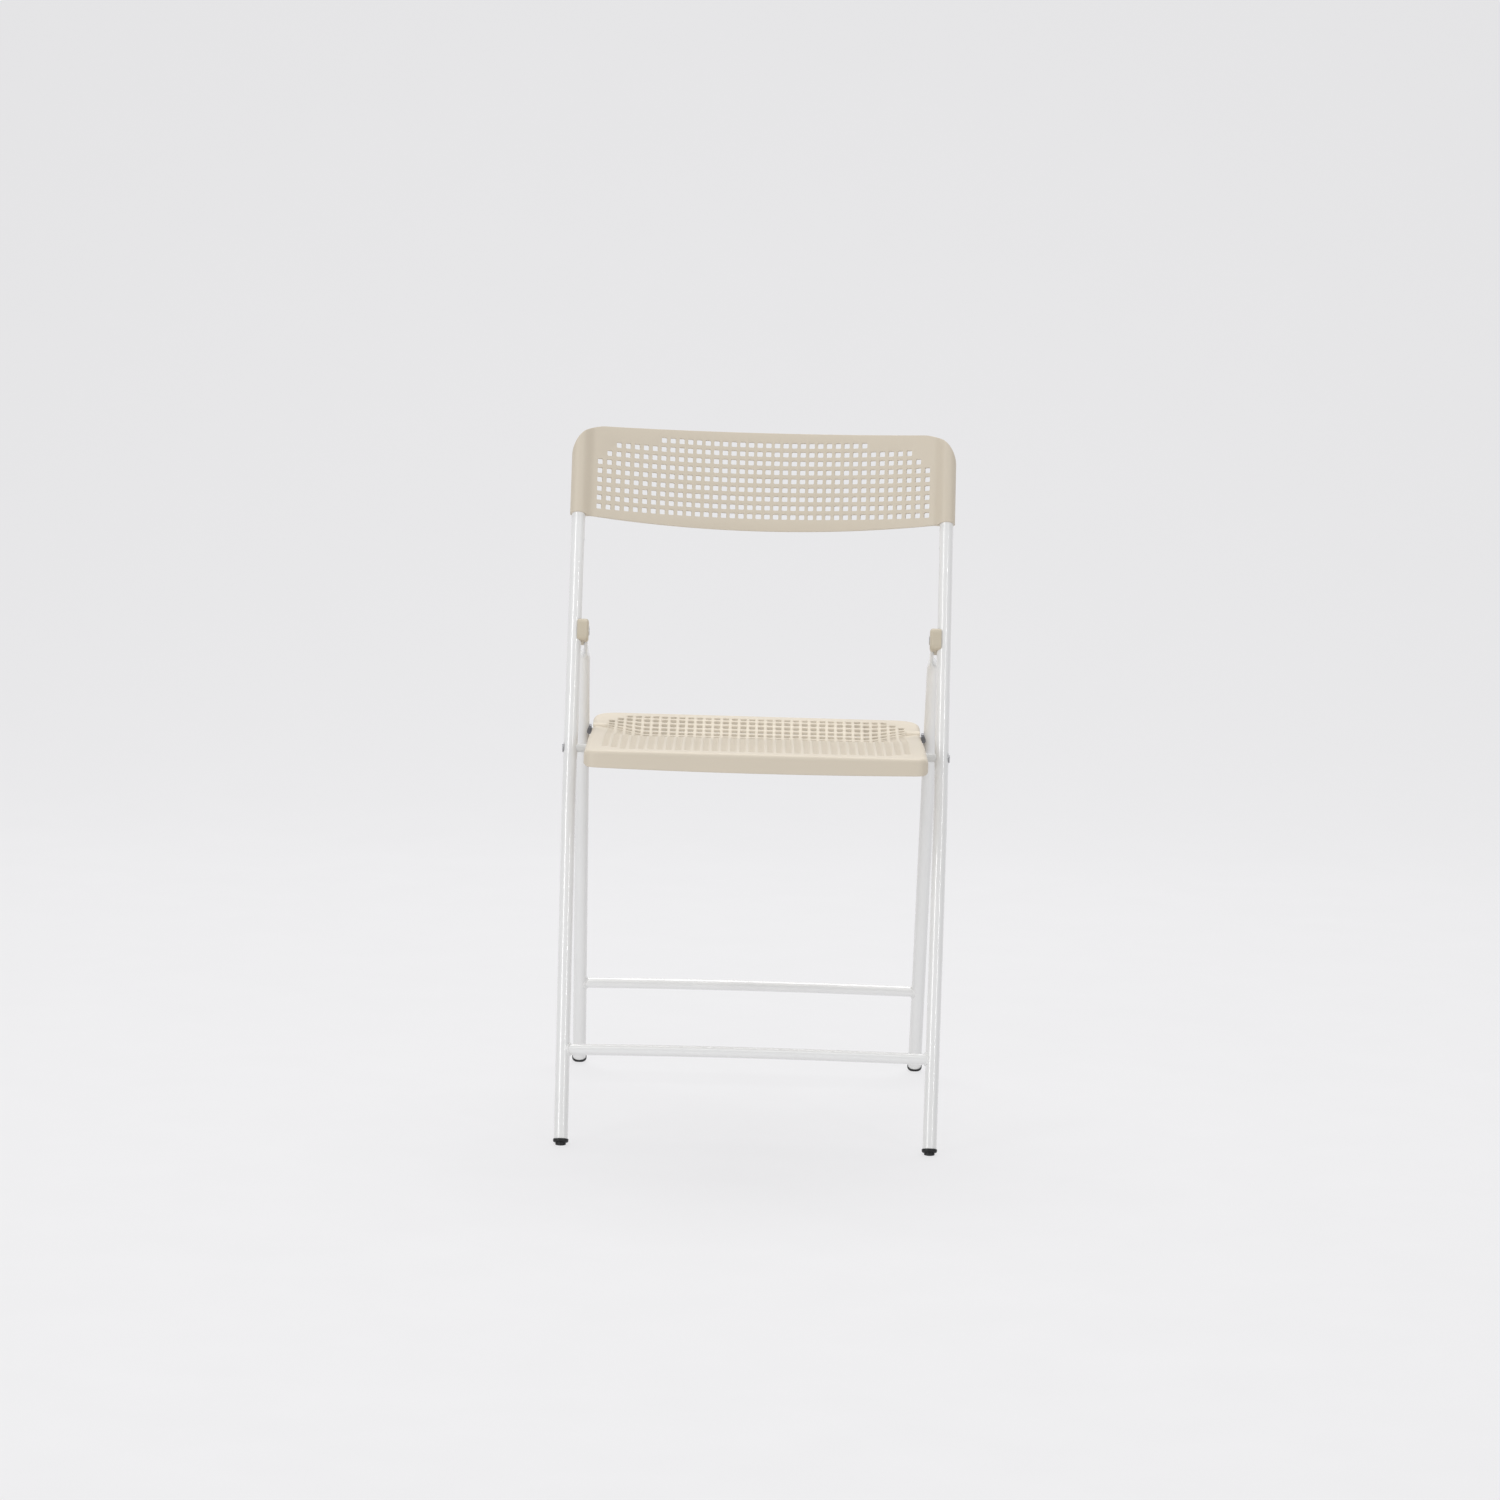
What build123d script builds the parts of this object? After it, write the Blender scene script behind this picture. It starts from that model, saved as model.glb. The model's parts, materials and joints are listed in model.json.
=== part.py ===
"""Folding chair with a perforated plastic seat and back on a light round-tube frame.

X runs across the chair, Y from the front to the rear and Z up, in millimetres.
The origin is on the floor, at the centre of the chair's box.
The chair is drawn open. The seat turns on the uprights, the rear legs turn on the seat, and shoes
at the tops of the rear legs slide up a slot in each upright until the chair is flat.
"""
from build123d import *
from math import asin, atan2, cos, degrees, hypot, radians, sin, sqrt, tan
import os

# ---- frame tubes ----
tube_radius = 8.0
tube_wall = 1.2
bar_radius = 6.35               # both cross bars
bar_wall = 1.0
bar_bow = 2.0                   # rise of each cross bar's middle
upright_half_spacing = 214.0    # centre plane to an upright's axis, from the bend up
upright_toe_in = 4.5            # how much nearer the axis is at the floor
upright_bend_along = 400.0      # bend's distance up the upright from the floor
upright_bend_radius = 2500.0
recline = 20.5                  # degrees that an upright leans back from vertical
front_bar_along = 109.0
leg_inset = 10.0                # a rear leg's axis, inwards from an upright's
rear_bar_along = 114.0          # up the rear leg from the floor

# ---- folding linkage, seen from the side ----
seat_pivot_along = 460.0        # up the upright from the floor
link_reach = 114.0              # seat pivot to rear pivot, rearwards
link_rise = 5.0                 # and upwards
slider_gap = 142.0              # seat pivot to the slider, up the upright, with the chair open
folded_gap = 2.0                # between leg and upright tubes when folded
folded_splay = 1.0              # degrees left between leg and upright when folded

# ---- flattened top of a rear leg ----
flat_thickness = 4.2
flat_half_width = 10.5
flat_length = 34.0              # below the top pivot
swage_length = 18.0             # from flat to round

# ---- seat ----
seat_leg_gap = 3.0              # between the seat's side and a rear leg
seat_front_reach = 196.0        # seat pivot to the front edge
seat_rear_reach = 194.0         # seat pivot to the rear edge
seat_tilt = 2.6                 # degrees that the seat falls to the rear
seat_top_above_pivot = 20.0
seat_skin = 3.6
seat_wall = 3.4
seat_front_apron = 19.0
seat_side_apron = 31.0
seat_rear_apron = 17.0
seat_front_run = 150.0          # length over which the side apron deepens from the front
seat_rear_run = 55.0            # and from the rear
seat_front_corner = 14.0
seat_rear_corner = 32.0
seat_edge_radius = 6.5
seat_dish_depth = 12.0          # hollow that the sitter sits in
seat_dish_radius = 115.0
seat_dish_behind_pivot = 62.0
boss_radius = 8.0
boss_length = 18.0

# ---- back ----
back_bottom_along = 737.0       # bottom edge at the uprights, up from the floor
back_height = 108.0             # at the uprights
back_top_crown = 4.5            # rise of the top edge's middle
back_bottom_crown = 5.5         # drop of the bottom edge's middle
back_dish = 37.0                # how far the middle lies behind the ends
back_end_forward = 3.0          # ends of the skin, in front of the uprights' axes
back_skin = 4.0
back_corner = 40.0
sleeve_wall = 2.1
upright_end_drop = 45.0         # an upright's end, below the back's top

# ---- pins, shoes and feet ----
seat_pin_radius = 3.5
rear_pin_radius = 3.0
pin_head_radius = 5.5
pin_head_height = 1.4
pin_depth_in_boss = 14.0
spacer_wall = 1.5
washer_wall = 3.0
shoe_height = 26.0
shoe_drop = 3.0                 # shoe's middle, below the leg's top pivot
shoe_web = 2.4                  # plastic between upright and leg
shoe_cover = 1.1                # inner face, inwards from the leg's flat
shoe_wrap = 4.6                 # how far the shoe reaches round the upright
shoe_front_wall = 1.5           # in front of the upright
shoe_rear_cover = 0.5           # behind the leg's flat
shoe_corner = 6.0
shoe_edge = 3.5                 # round the face towards the centre plane
stud_in_shoe = 3.0              # inner face to the blind hole's end
stud_head_gap = 1.2             # inside the upright's wall
stud_radius = 2.5
stud_head_radius = 4.2
stud_head_height = 1.5
rivet_radius = 3.0
rivet_head_radius = 5.5
rivet_head_height = 1.6
foot_lip = 0.8                  # proud of its tube
foot_height = 6.0               # along the leg, at its axis
foot_disc_height = 3.8
foot_base_inset = 2.8
foot_stub_length = 20.0
screw_radius = 1.75
screw_head_radius = 3.4
screw_head_height = 1.6
screw_up_sleeve = 34.0          # screw's distance above the back's bottom edge

# ---- fits ----
running_fit = 0.05              # radial, a pin that turns
fixed_fit = 0.02                # radial, a pin or sleeve that is held
plug_fit = 0.15                 # radial, a foot's stub in its tube
side_gap = 0.35                 # between parts that slide past each other
tiny = 0.01
overcut = 1.0                   # how far a cut runs past what it cuts
drill_reach = 20.0              # a drill's reach to each side of a tube's axis
room = 2000.0                   # larger than the chair

# ---- sizes that follow ----
upright_top_along = back_bottom_along + back_height - upright_end_drop
leg_half_spacing = upright_half_spacing - leg_inset
seat_width = 2 * (leg_half_spacing - tube_radius - seat_leg_gap)
flat_x = upright_half_spacing - tube_radius - 2 * side_gap - shoe_web - flat_thickness / 2
slider_behind = sqrt((2 * tube_radius + folded_gap) ** 2 - leg_inset ** 2)
shoe_inner_x = flat_x - flat_thickness / 2 - shoe_cover
shoe_outer_x = upright_half_spacing - tube_radius + shoe_wrap
shoe_front = tube_radius + shoe_front_wall      # in front of the upright's axis
shoe_rear = slider_behind + flat_half_width + shoe_rear_cover
spacer_radius = seat_pin_radius + spacer_wall
washer_radius = rear_pin_radius + washer_wall
sleeve_radius = tube_radius + fixed_fit + sleeve_wall
foot_radius = tube_radius + foot_lip
foot_base_radius = foot_radius - foot_base_inset
seat_bowl_radius = (seat_dish_radius ** 2 + seat_dish_depth ** 2) / (2 * seat_dish_depth)

# ---- places in the side view, measured from the upright's foot ----
lean = radians(recline)


def beside_upright(along, behind=0.0):
    """Point (y, z) this far up the upright's axis and this far behind it."""
    return along * sin(lean) + behind * cos(lean), along * cos(lean) - behind * sin(lean)


seat_pivot = beside_upright(seat_pivot_along)
rear_pivot = (seat_pivot[0] + link_reach, seat_pivot[1] + link_rise)
slider_along = seat_pivot_along + slider_gap
leg_top = beside_upright(slider_along, slider_behind)
leg_lean = atan2(rear_pivot[0] - leg_top[0], leg_top[1] - rear_pivot[1])
leg_length = leg_top[1] / cos(leg_lean)
rear_foot_y = leg_top[0] + leg_top[1] * tan(leg_lean)

# ---- the fold ----
link_length = hypot(link_reach, link_rise)
leg_above_pivot = hypot(rear_pivot[0] - leg_top[0], rear_pivot[1] - leg_top[1])
link_angle_open = degrees(atan2(link_reach * cos(lean) - link_rise * sin(lean),
                                link_reach * sin(lean) + link_rise * cos(lean)))
folded_behind = slider_behind + leg_above_pivot * sin(radians(folded_splay))
link_angle_folded = degrees(asin(folded_behind / link_length))
seat_turn = link_angle_open - link_angle_folded
leg_turn = recline + degrees(leg_lean) - folded_splay
slider_travel = (link_length * cos(radians(link_angle_folded))
                 + leg_above_pivot * cos(radians(folded_splay)) - slider_gap)

# ---- put the origin at the centre of the box ----
tilt = radians(seat_tilt)
seat_nose_y = (seat_pivot[0] - seat_front_reach * cos(tilt)
               + (seat_top_above_pivot - seat_front_apron) * sin(tilt))
rear_end_y = rear_foot_y + foot_radius / cos(leg_lean)
front_foot_y = -(seat_nose_y + rear_end_y) / 2

upright_frame = Plane(origin=(0, front_foot_y, 0), x_dir=(1, 0, 0), z_dir=(0, sin(lean), cos(lean)))
leg_frame = Plane(origin=(0, front_foot_y + rear_foot_y, 0), x_dir=(1, 0, 0),
                  z_dir=(0, -sin(leg_lean), cos(leg_lean)))
seat_frame = Plane(origin=(0, front_foot_y + seat_pivot[0], seat_pivot[1]), x_dir=(1, 0, 0),
                   z_dir=(0, sin(tilt), cos(tilt)))
above_floor = Pos(0, 0, room / 2) * Box(room, room, room)


def rod(x_from, x_to, radius, y, z):
    """Solid cylinder along X, between two X values."""
    return Pos((x_from + x_to) / 2, y, z) * Rot(0, 90, 0) * Cylinder(radius, abs(x_to - x_from))


def upright_x(along):
    """Distance of an upright's axis from the centre plane, this far up from the floor."""
    return upright_half_spacing - upright_toe_in * max(0.0, 1 - along / upright_bend_along)


def mirrored(shape):
    return shape.mirror(Plane.YZ)


# ---- uprights ----
def upright_path():
    return FilletPolyline((upright_x(0), 0, 0), (upright_x(upright_bend_along), 0, upright_bend_along),
                          (upright_half_spacing, 0, upright_top_along), radius=upright_bend_radius)


def swept_round(path, radius):
    return sweep(Plane(origin=path @ 0, z_dir=path % 0) * Circle(radius), path=path)


def make_upright():
    """Right upright: a round tube with a slot for the slider and holes for the seat pin."""
    path = upright_path()
    outside = swept_round(path, tube_radius)
    bore = swept_round(path, tube_radius - tube_wall)
    foot_end = Pos(upright_x(0), 0, 0) * Box(4 * tube_radius, 4 * tube_radius, 2 * foot_height)
    slot = (Plane(origin=(upright_half_spacing - tube_radius, 0, slider_along + slider_travel / 2),
                  x_dir=(0, 0, 1), z_dir=(1, 0, 0))
            * SlotOverall(slider_travel + 2 * (stud_radius + side_gap), 2 * (stud_radius + side_gap)))
    tube = outside - bore - foot_end - extrude(slot, tube_radius, both=True)
    seat_hole = rod(upright_half_spacing - drill_reach, upright_half_spacing + drill_reach,
                    seat_pin_radius + fixed_fit, 0, seat_pivot_along)
    screw_hole = (Pos(upright_half_spacing, tube_radius, back_bottom_along + screw_up_sleeve)
                  * Rot(90, 0, 0) * Cylinder(screw_radius + fixed_fit, tube_radius))
    return upright_frame * (tube - seat_hole - screw_hole)


def make_cross_bar(frame, half_spacing, along):
    """Round bar between two tubes, with ends shaped to sit against them and a slightly raised middle."""
    arc = ThreePointArc((-half_spacing, 0, 0), (0, 0, bar_bow), (half_spacing, 0, 0))
    bar = swept_round(arc, bar_radius) - swept_round(arc, bar_radius - bar_wall)
    return frame * Pos(0, 0, along) * bar


def make_front_bar():
    bar = make_cross_bar(upright_frame, upright_x(front_bar_along), front_bar_along)
    tube = upright_frame * swept_round(upright_path(), tube_radius + fixed_fit)
    return (bar - tube - mirrored(tube)).solids().sort_by(SortBy.VOLUME)[-1]


# ---- rear legs ----
def make_rear_leg():
    """Right rear leg: a round tube whose top is swaged flat and rounded round its pivot."""
    round_from = leg_length - flat_length - swage_length
    axis_x = leg_half_spacing
    tube_length = round_from - foot_height
    tube = (Pos(axis_x, 0, foot_height + tube_length / 2)
            * (Cylinder(tube_radius, tube_length) - Cylinder(tube_radius - tube_wall, tube_length)))
    swage = loft([Plane.XY.offset(round_from) * Pos(axis_x, 0) * Circle(tube_radius),
                  Plane.XY.offset(round_from + swage_length) * Pos(flat_x, 0)
                  * Ellipse(flat_thickness / 2, flat_half_width)])
    flat_side = Plane(origin=(flat_x, 0, leg_length), x_dir=(0, 1, 0), z_dir=(1, 0, 0))
    flat_outline = (Circle(flat_half_width)
                    + Pos(0, -flat_length / 2) * Rectangle(2 * flat_half_width, flat_length))
    flat = extrude(flat_side * flat_outline, flat_thickness / 2, both=True)
    leg = leg_frame * (tube + swage + flat)
    pivot_y, pivot_z = front_foot_y + rear_pivot[0], rear_pivot[1]
    pin_hole = rod(axis_x - drill_reach, axis_x + drill_reach, rear_pin_radius + fixed_fit,
                   pivot_y, pivot_z)
    top_y, top_z = front_foot_y + leg_top[0], leg_top[1]
    rivet_hole = rod(flat_x - flat_thickness, flat_x + flat_thickness, rivet_radius + fixed_fit, top_y, top_z)
    return leg - pin_hole - rivet_hole


def make_rear_bar():
    bar = make_cross_bar(leg_frame, leg_half_spacing, rear_bar_along)
    tube = (leg_frame * Pos(leg_half_spacing, 0, rear_bar_along)
            * Cylinder(tube_radius + fixed_fit, 4 * tube_radius))
    return (bar - tube - mirrored(tube)).solids().sort_by(SortBy.VOLUME)[-1]


# ---- feet ----
def make_foot(frame, x, slant=0.0):
    """Plug with a disc under the tube, a narrower base cut level with the floor, and a stub."""
    disc_middle = foot_height - foot_disc_height / 2
    disc = Pos(0, 0, disc_middle) * Cylinder(foot_radius, foot_disc_height)
    disc = fillet(disc.edges().group_by(Axis.Z)[0], foot_disc_height / 2)
    base = Pos(0, 0, disc_middle - foot_radius) * Cylinder(foot_base_radius, 2 * foot_radius)
    stub = Pos(0, 0, foot_height + foot_stub_length / 2) * Cylinder(
        tube_radius - tube_wall - plug_fit, foot_stub_length)
    foot = frame * Pos(x, 0, 0) * (disc + base + Rot(0, slant, 0) * stub)
    return foot & above_floor


# ---- seat ----
def seat_block(inset, top, edge_radius):
    """Seat's outside for an inset of 0, or the hollow under it for the wall's thickness."""
    half = seat_width / 2 - inset
    front = -seat_front_reach + inset
    rear = seat_rear_reach - inset
    plan = Pos(0, (front + rear) / 2) * Rectangle(2 * half, rear - front)
    front_corners = plan.vertices().group_by(Axis.Y)[0]
    plan = fillet(front_corners, max(seat_front_corner - inset, overcut))
    rear_corners = plan.vertices().group_by(Axis.Y)[-1]
    plan = fillet(rear_corners, max(seat_rear_corner - inset, overcut))
    deep = 2 * seat_side_apron
    block = Pos(0, 0, top - deep) * extrude(plan, deep)
    return fillet(block.edges().group_by(Axis.Z)[-1], edge_radius)


def seat_profile():
    """Side outline that gives the apron its depth: shallow at both ends, deep over the pivots."""
    top = seat_top_above_pivot + overcut
    front, rear = -seat_front_reach, seat_rear_reach
    front_low = seat_top_above_pivot - seat_front_apron
    side_low = seat_top_above_pivot - seat_side_apron
    rear_low = seat_top_above_pivot - seat_rear_apron
    points = [(front - overcut, top), (front - overcut, front_low), (front, front_low),
              (front + seat_front_run, side_low), (rear - seat_rear_run, side_low),
              (rear, rear_low), (rear + overcut, rear_low), (rear + overcut, top)]
    outline = make_face(Plane.YZ * Polyline(*points, close=True))
    return extrude(outline, seat_width, both=True)


def make_seat():
    """Moulded seat: a skin with an apron all round and a boss for each pin."""
    outside = seat_block(0, seat_top_above_pivot, seat_edge_radius)
    hollow = seat_block(seat_wall, seat_top_above_pivot - seat_skin, seat_edge_radius - seat_wall)
    bowl_z = seat_top_above_pivot - seat_dish_depth + seat_bowl_radius
    bowl_place = Pos(0, seat_dish_behind_pivot, bowl_z)
    outside = outside - bowl_place * Sphere(seat_bowl_radius)
    hollow = hollow - bowl_place * Sphere(seat_bowl_radius + seat_skin)
    tray = (outside - hollow) & seat_profile()
    rear_y = link_reach * cos(tilt) - link_rise * sin(tilt)
    rear_z = link_reach * sin(tilt) + link_rise * cos(tilt)
    edge = seat_width / 2
    for y, z, radius in ((0, 0, seat_pin_radius), (rear_y, rear_z, rear_pin_radius)):
        boss = rod(edge - boss_length, edge - seat_wall / 2, boss_radius, y, z)
        rib_top = seat_top_above_pivot - seat_skin / 2
        boss += (Pos(edge - boss_length / 2 - seat_wall / 4, y, (z + rib_top) / 2)
                 * Box(boss_length - seat_wall / 2, seat_skin, rib_top - z))
        bore = rod(edge - pin_depth_in_boss - overcut, edge + overcut, radius + running_fit, y, z)
        tray = tray + boss + mirrored(boss) - bore - mirrored(bore)
    return seat_frame * tray


# ---- back ----
def back_skin_outline(outer_shift):
    """Arc across the back, seen down the uprights, shifted rearwards by this much."""
    half = upright_half_spacing
    end_y = outer_shift - back_end_forward
    return ThreePointArc((-half, end_y), (0, end_y + back_dish), (half, end_y))


def make_back():
    """Moulded back: a dished skin between two sleeves that fit over the uprights' tops."""
    half = upright_half_spacing
    bottom, top = back_bottom_along, back_bottom_along + back_height
    wide = half + sleeve_radius
    front_arc = back_skin_outline(-back_skin / 2)
    rear_arc = back_skin_outline(back_skin / 2)
    ends = Line(front_arc @ 0, rear_arc @ 0) + Line(front_arc @ 1, rear_arc @ 1)
    band = make_face(front_arc + rear_arc + ends)
    tall = back_height + back_bottom_crown + back_top_crown + 2 * overcut
    skin = Pos(0, 0, bottom - back_bottom_crown - overcut) * extrude(band, tall)
    sleeve = Pos(half, 0, bottom + back_height / 2) * Cylinder(sleeve_radius, back_height)
    bottom_edge = ThreePointArc((-half, bottom), (0, bottom - back_bottom_crown), (half, bottom))
    corner_x = wide - back_corner
    corner_z = top - back_corner
    top_edge = ThreePointArc((corner_x, top), (0, top + back_top_crown), (-corner_x, top))
    corner_right = RadiusArc((wide, corner_z), (corner_x, top), -back_corner)
    corner_left = RadiusArc((-corner_x, top), (-wide, corner_z), -back_corner)
    right_side = Line((half, bottom), (wide, bottom)) + Line((wide, bottom), (wide, corner_z))
    left_side = Line((-wide, corner_z), (-wide, bottom)) + Line((-wide, bottom), (-half, bottom))
    loop = bottom_edge + right_side + corner_right + top_edge + corner_left + left_side
    outline = extrude(Plane.XZ * make_face(loop), 2 * back_dish + sleeve_radius, both=True)
    tube_room = upright_top_along - bottom + overcut
    bore = Pos(half, 0, bottom + tube_room / 2 - overcut) * Cylinder(tube_radius + fixed_fit, tube_room)
    screw_hole = (Pos(half, tube_radius + sleeve_wall, bottom + screw_up_sleeve)
                  * Rot(90, 0, 0) * Cylinder(screw_radius + fixed_fit, 3 * sleeve_wall))
    body = (skin + sleeve + mirrored(sleeve)) & outline
    return upright_frame * (body - bore - mirrored(bore) - screw_hole - mirrored(screw_hole))


def make_back_screw():
    """Small screw that holds a sleeve to its upright from behind."""
    head_y = sleeve_radius
    shank_length = sleeve_wall + tube_wall + 2 * overcut
    shank = Pos(0, -shank_length / 2, 0) * Rot(90, 0, 0) * Cylinder(screw_radius, shank_length)
    head = (Pos(0, screw_head_height / 2, 0) * Rot(90, 0, 0)
            * Cylinder(screw_head_radius, screw_head_height))
    head = fillet(head.edges().group_by(Axis.Y)[-1], screw_head_height / 2)
    screw = shank + head
    return upright_frame * Pos(upright_half_spacing, head_y, back_bottom_along + screw_up_sleeve) * screw


# ---- pins, spacers and washers ----
def make_pin(outer_x, radius, y, z):
    """Pin with a low round head on the tube's outer side, running into the seat's boss."""
    shank = rod(seat_width / 2 - pin_depth_in_boss, outer_x, radius, y, z)
    head = rod(outer_x, outer_x + pin_head_height, pin_head_radius, y, z)
    head = fillet(head.edges().group_by(Axis.X)[-1], pin_head_height / 2)
    return shank + head


def make_ring(x_from, x_to, radius, pin_radius, y, z):
    hole = rod(x_from - overcut, x_to + overcut, pin_radius + fixed_fit, y, z)
    return rod(x_from, x_to, radius, y, z) - hole


def against_tube(ring, frame, x):
    """Shape a ring's outer end to the round tube that it sits on."""
    tube = (frame * Pos(x, 0, upright_top_along / 2)
            * Cylinder(tube_radius + fixed_fit, upright_top_along))
    return ring - tube


# ---- slider ----
def make_shoe():
    """Right shoe: a block that hugs the upright's inner side and covers the leg's flattened end."""
    middle = (shoe_front - shoe_rear) / -2
    body = (Pos((shoe_inner_x + shoe_outer_x) / 2, middle, slider_along - shoe_drop)
            * Box(shoe_outer_x - shoe_inner_x, shoe_front + shoe_rear, shoe_height))
    body = fillet(body.edges().filter_by(Axis.X), shoe_corner)
    body = fillet(body.edges().group_by(Axis.X)[0], shoe_edge)
    channel = (Pos(upright_half_spacing, 0, slider_along)
               * Cylinder(tube_radius + side_gap, 2 * shoe_height))
    leg_room_front = slider_behind - flat_half_width - side_gap
    leg_room_x = flat_x + flat_thickness / 2 + side_gap
    leg_room = (Pos(leg_room_x - shoe_rear / 2, leg_room_front + shoe_rear, slider_along)
                * Box(shoe_rear, 2 * shoe_rear, 2 * shoe_height))
    stud_hole = rod(shoe_inner_x + stud_in_shoe, upright_half_spacing,
                    stud_radius + fixed_fit, 0, slider_along)
    return upright_frame * (body - channel - leg_room - stud_hole)


def make_stud():
    """Right stud: held in the shoe, with its head inside the upright."""
    wall_inside = upright_half_spacing - tube_radius + tube_wall + side_gap
    head_from = wall_inside + stud_head_gap
    shank = rod(shoe_inner_x + stud_in_shoe + tiny, head_from, stud_radius, 0, slider_along)
    head = rod(head_from, head_from + stud_head_height, stud_head_radius, 0, slider_along)
    return upright_frame * (shank + head)


def make_leg_rivet():
    """Right rivet through the leg's flattened end; its outer end is flush with the leg."""
    y, z = front_foot_y + leg_top[0], leg_top[1]
    inner = flat_x - flat_thickness / 2
    shank = rod(inner, inner + flat_thickness, rivet_radius, y, z)
    head = rod(inner - rivet_head_height, inner, rivet_head_radius, y, z)
    head = fillet(head.edges().group_by(Axis.X)[0], rivet_head_height / 2)
    return shank + head


def save(name, shape):
    shape.label = name
    export_step(shape, f"parts/{name}.step")


def save_pair(name, right_shape):
    """The right piece, and its mirror image as the left one."""
    save(f"{name}_right", right_shape)
    save(f"{name}_left", mirrored(right_shape))


os.makedirs("parts", exist_ok=True)

seat_y, seat_z = front_foot_y + seat_pivot[0], seat_pivot[1]
rear_y, rear_z = front_foot_y + rear_pivot[0], rear_pivot[1]
toe_slant = degrees(atan2(upright_toe_in, upright_bend_along))
seat_side = seat_width / 2 + side_gap

save_pair("upright", make_upright())
save("front_cross_bar", make_front_bar())
save_pair("front_foot", make_foot(upright_frame, upright_x(0), toe_slant))
save("backrest", make_back())
screw = make_back_screw()
save("back_screws", Compound(children=[screw, mirrored(screw)]))

save_pair("rear_leg", make_rear_leg())
save("rear_cross_bar", make_rear_bar())
save_pair("rear_foot", make_foot(leg_frame, leg_half_spacing))

save("seat", make_seat())
save_pair("seat_pin", make_pin(upright_half_spacing + tube_radius, seat_pin_radius, seat_y, seat_z))
save_pair("rear_pin", make_pin(leg_half_spacing + tube_radius, rear_pin_radius, rear_y, rear_z))
spacer = make_ring(seat_side, upright_half_spacing, spacer_radius, seat_pin_radius, seat_y, seat_z)
save_pair("seat_spacer", against_tube(spacer, upright_frame, upright_half_spacing))
washer = make_ring(seat_side, leg_half_spacing, washer_radius, rear_pin_radius, rear_y, rear_z)
save_pair("rear_washer", against_tube(washer, leg_frame, leg_half_spacing))

save_pair("slider_shoe", make_shoe())
save_pair("slider_stud", make_stud())
save_pair("leg_rivet", make_leg_rivet())

print("seat pivot", (0, round(seat_y, 3), round(seat_z, 3)), "turns", round(seat_turn, 3))
print("rear pivot", (0, round(rear_y, 3), round(rear_z, 3)), "turns", round(seat_turn + leg_turn, 3))
print("slider travel", round(slider_travel, 3), "leg lean", round(degrees(leg_lean), 2))
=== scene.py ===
"""Looks of the folding chair: pierced seat and back, enamelled tubes, welds, shoes and feet.

Everything is in metres in the CAD frame: X across the chair, Y to the rear, Z up from the floor.
"""
import json
import math

import bmesh
import bpy
import numpy as np
from mathutils import Matrix, Vector


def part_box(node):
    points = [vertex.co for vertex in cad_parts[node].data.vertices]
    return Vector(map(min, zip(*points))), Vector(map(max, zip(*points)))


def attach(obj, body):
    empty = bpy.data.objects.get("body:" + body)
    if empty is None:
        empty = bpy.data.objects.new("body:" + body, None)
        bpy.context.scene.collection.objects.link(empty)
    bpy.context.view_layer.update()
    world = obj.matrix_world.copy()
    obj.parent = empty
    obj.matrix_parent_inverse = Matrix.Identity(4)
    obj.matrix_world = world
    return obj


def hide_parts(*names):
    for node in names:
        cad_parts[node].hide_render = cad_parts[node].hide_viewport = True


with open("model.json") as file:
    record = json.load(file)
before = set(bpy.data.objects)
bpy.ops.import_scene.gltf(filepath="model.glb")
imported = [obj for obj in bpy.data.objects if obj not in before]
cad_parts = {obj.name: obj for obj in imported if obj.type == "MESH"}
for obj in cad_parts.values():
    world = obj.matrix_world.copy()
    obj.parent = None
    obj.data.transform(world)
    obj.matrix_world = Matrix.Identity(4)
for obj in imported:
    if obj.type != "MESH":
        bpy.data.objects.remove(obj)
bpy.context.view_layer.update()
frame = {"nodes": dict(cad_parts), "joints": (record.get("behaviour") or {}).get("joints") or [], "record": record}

nodes = frame["nodes"]
joints = {joint["name"]: joint for joint in frame["joints"]}
MM = 0.001
MERGE = 0.01 * MM                   # points closer than this become one
SHARP_TURN = math.radians(50)       # an edge is sharp where its faces meet at more than this

# ---- places taken from the frame ----
SEAT_PIVOT = Vector(joints["seat_fold"]["pos_m"])
REAR_PIVOT = Vector(joints["rear_leg_fold"]["pos_m"])
UP = Vector(joints["slider_left_slide"]["axis"])          # up along an upright
BEHIND = Vector((0.0, UP.z, -UP.y))                       # square to an upright, rearwards
FOOT_Y = SEAT_PIVOT.y - SEAT_PIVOT.z * UP.y / UP.z        # where the uprights' axes meet the floor

# ---- frame tubes ----
TUBE_RADIUS = 8.0 * MM
BAR_RADIUS = 6.35 * MM
FRONT_BAR_ALONG = 109.0 * MM        # up the uprights from the floor
REAR_BAR_ALONG = 114.0 * MM         # up the rear legs
UPRIGHT_TOE_IN = 4.5 * MM           # how much nearer the middle an upright is at the floor
UPRIGHT_BEND_ALONG = 400.0 * MM     # up the upright, where it turns straight
WELD_SIZE = 1.7 * MM                # radius of a fillet weld
WELD_RIPPLE = 0.12                  # share of that radius
WELD_RIPPLE_TURN = 2.4              # of the ripple's wave, from one step to the next
WELD_SINK = 0.4 * MM                # the bead's middle lies this far inside the bar's surface
WELD_SHARP_TURN = math.radians(80)
WELD_STEPS = 28                     # round the bar
WELD_SIDES = 8
LEG_LEAN = math.radians(22.26)
LEG_UP = Vector((0.0, -math.sin(LEG_LEAN), math.cos(LEG_LEAN)))
REAR_FOOT_Y = REAR_PIVOT.y + REAR_PIVOT.z * math.tan(LEG_LEAN)

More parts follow.
